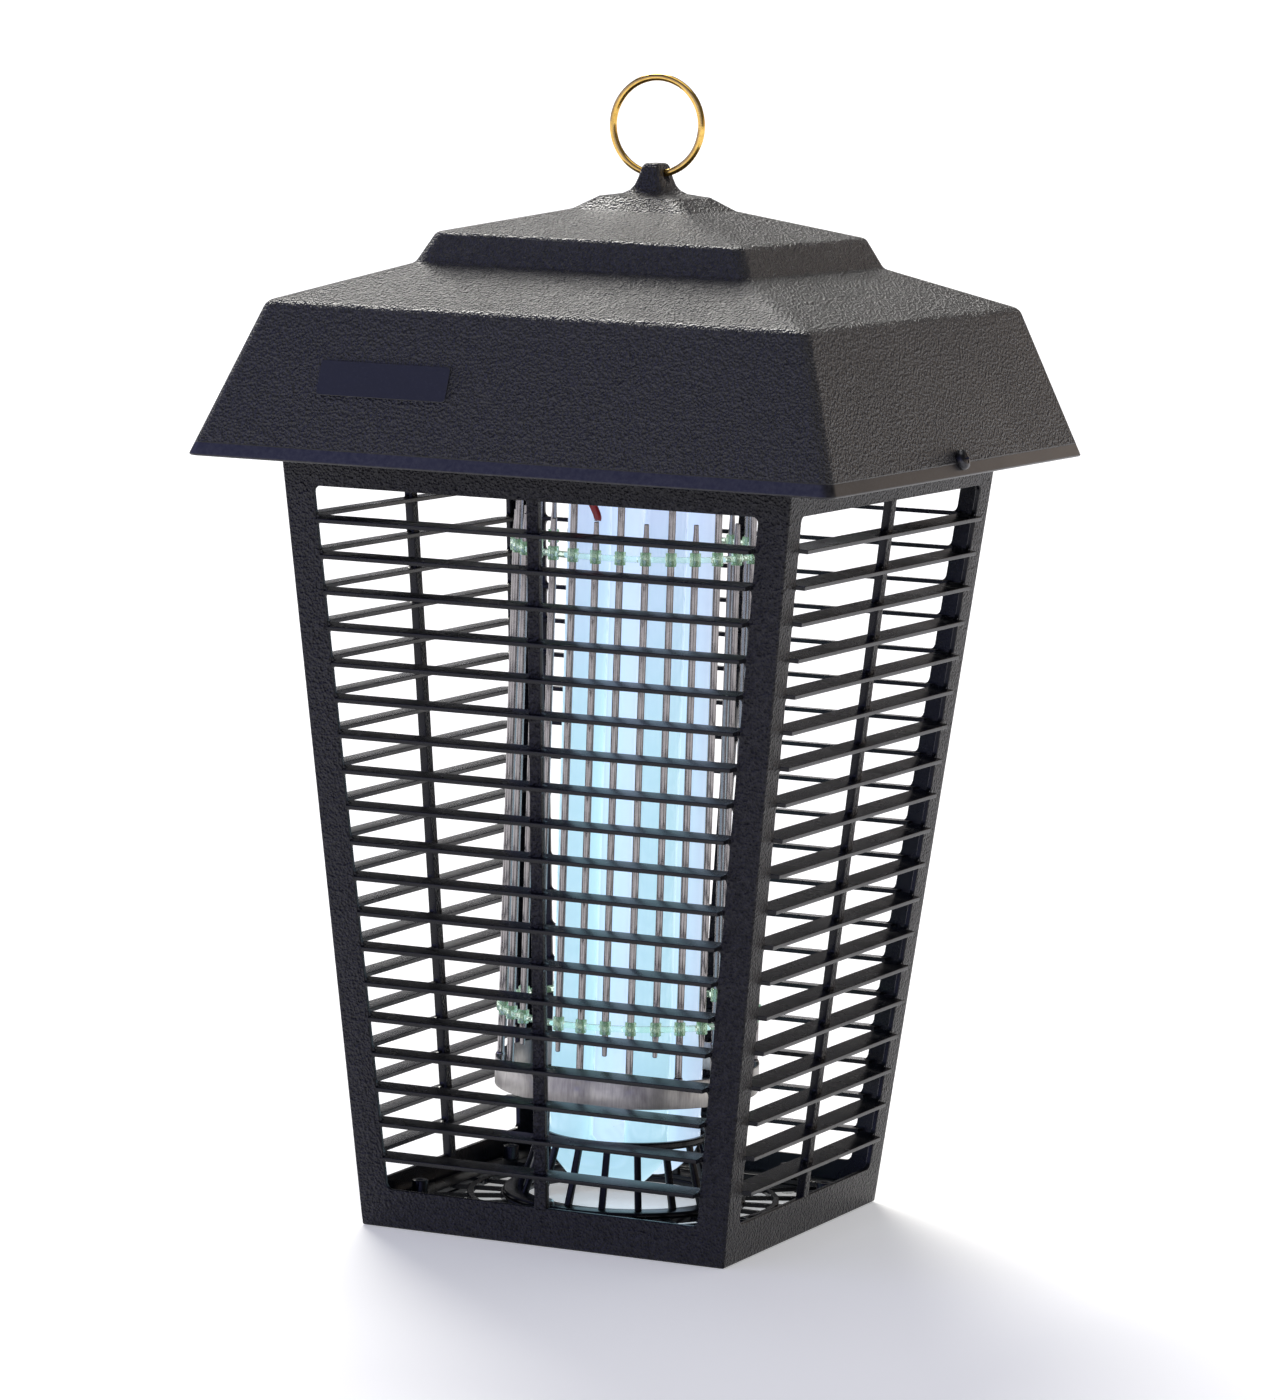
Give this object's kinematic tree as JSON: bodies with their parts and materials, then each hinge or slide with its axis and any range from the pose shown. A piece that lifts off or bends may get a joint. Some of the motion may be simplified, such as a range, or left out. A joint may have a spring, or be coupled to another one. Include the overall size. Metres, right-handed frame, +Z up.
{
  "type": "electric bug zapper",
  "caption": "Hanging lantern-style electric insect killer with a louvred square cage, a stepped roof, a cylindrical rod grid and a lit ultraviolet lamp.",
  "frame": {"origin": "middle of the bottom rim of the cage, on the surface that it stands on", "axes": "+Z up, -Y out of the front wall (the one with the badge above it), +X to the right seen from the front"},
  "size_m": [0.2838, 0.28, 0.4727],
  "materials": {
    "pebbled_black": "pebble-textured moulded plastic",
    "gloss_black": "smooth moulded plastic",
    "ring_brass": "brass-coloured plated wire",
    "dark_screw": "black oxide",
    "zinc_sheet": "zinc-plated sheet",
    "zinc_screw": "zinc-plated",
    "steel_wire": "bright drawn wire",
    "galvanised": "galvanised, mottled",
    "clear_plastic": "clear moulded plastic",
    "white_plastic": "moulded",
    "lamp_glass": "glowing phosphor-coated glass",
    "pin_brass": "plain",
    "lamination": "varnished laminations",
    "copper_wire": "enamelled copper wire",
    "starter_can": "plain can",
    "red_lead": "silicone insulation",
    "white_lead": "PVC insulation",
    "black_lead": "PVC insulation",
    "black_rubber": "moulded",
    "black_nylon": "moulded nylon"
  },
  "bodies": {
    "body": {"roof": "pebbled_black", "roof_screws": "dark_screw", "badge": "gloss_black", "cage_front": "pebbled_black", "cage_right": "pebbled_black", "cage_back": "pebbled_black", "cage_left": "pebbled_black", "component_pan": "zinc_sheet", "pan_screws": "zinc_screw", "floor_grille": "gloss_black", "floor_screws": "zinc_screw", "lamp_guard": "gloss_black", "guard_screws": "zinc_screw", "grid_rods_upper": "steel_wire", "grid_rods_lower": "steel_wire", "upper_bus_band": "zinc_sheet", "lower_bus_band": "galvanised", "upper_spacer": "clear_plastic", "lower_spacer": "clear_plastic", "grid_standoffs": "white_plastic", "standoff_screws": "zinc_screw", "lamp_socket": "white_plastic", "socket_bracket": "zinc_sheet", "bracket_screws": "zinc_screw", "transformer_core": "lamination", "transformer_winding": "copper_wire", "transformer_frame": "zinc_sheet", "transformer_screws": "zinc_screw", "ballast_core": "lamination", "ballast_winding": "copper_wire", "ballast_frame": "zinc_sheet", "ballast_screws": "zinc_screw", "starter_socket": "white_plastic", "terminal_block": "white_plastic", "terminal_screws": "pin_brass", "base_screws": "zinc_screw", "hv_lead_red": "red_lead", "hv_lead_second": "white_lead", "lead_grommets": "black_rubber", "lamp_leads": "white_lead", "supply_leads": "black_lead", "cord_gland": "black_nylon", "gland_nut": "black_nylon"},
    "ring": {"hang_ring": "ring_brass"},
    "lamp": {"lamp_tubes": "lamp_glass", "lamp_cap": "white_plastic", "lamp_pins": "pin_brass"},
    "starter": {"starter": "starter_can"}
  },
  "joints": [
    {"name": "ring_swing", "type": "hinge", "parent": "body", "child": "ring", "pos_m": [0, 0, 0.4318], "axis": [1, 0, 0], "range_deg": [-110, 110]},
    {"name": "lamp_pull", "type": "slide", "parent": "body", "child": "lamp", "axis": [0, 0, -1], "range_m": [0, 0.34]},
    {"name": "starter_turn", "type": "hinge", "parent": "body", "child": "starter", "pos_m": [-0.022, 0.08, 0.345], "axis": [0, 0, 1], "range_deg": [0, 90]}
  ]
}
